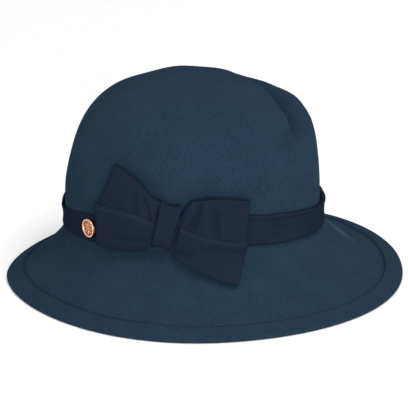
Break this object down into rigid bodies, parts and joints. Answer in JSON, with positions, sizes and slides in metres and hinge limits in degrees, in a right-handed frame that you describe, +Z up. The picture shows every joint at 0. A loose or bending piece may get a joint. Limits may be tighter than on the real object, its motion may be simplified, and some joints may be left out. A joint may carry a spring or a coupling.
{
  "type": "wool felt hat",
  "caption": "Wool felt hat with a rounded crown, crescent crease, flared brim with a raised hem, and a satin ribbon band with a bow and a small round badge.",
  "frame": {"origin": "on the surface that the hat lies on, under the middle of the brim", "axes": "+X to the front of the hat, +Y to the wearer's left, +Z up through the crown; the bow is at -Y, on the wearer's right"},
  "size_m": [0.3055, 0.2944, 0.1565],
  "materials": {
    "felt": "matt wool felt, blue-grey",
    "satin": "dull satin ribbon, navy",
    "copper": "polished, copper-coloured"
  },
  "bodies": {
    "root": {"felt_body": "felt", "hat_band": "satin", "bow_back_loop": "satin", "bow_front_loop": "satin", "bow_knot": "satin", "badge": "copper"}
  },
  "joints": []
}
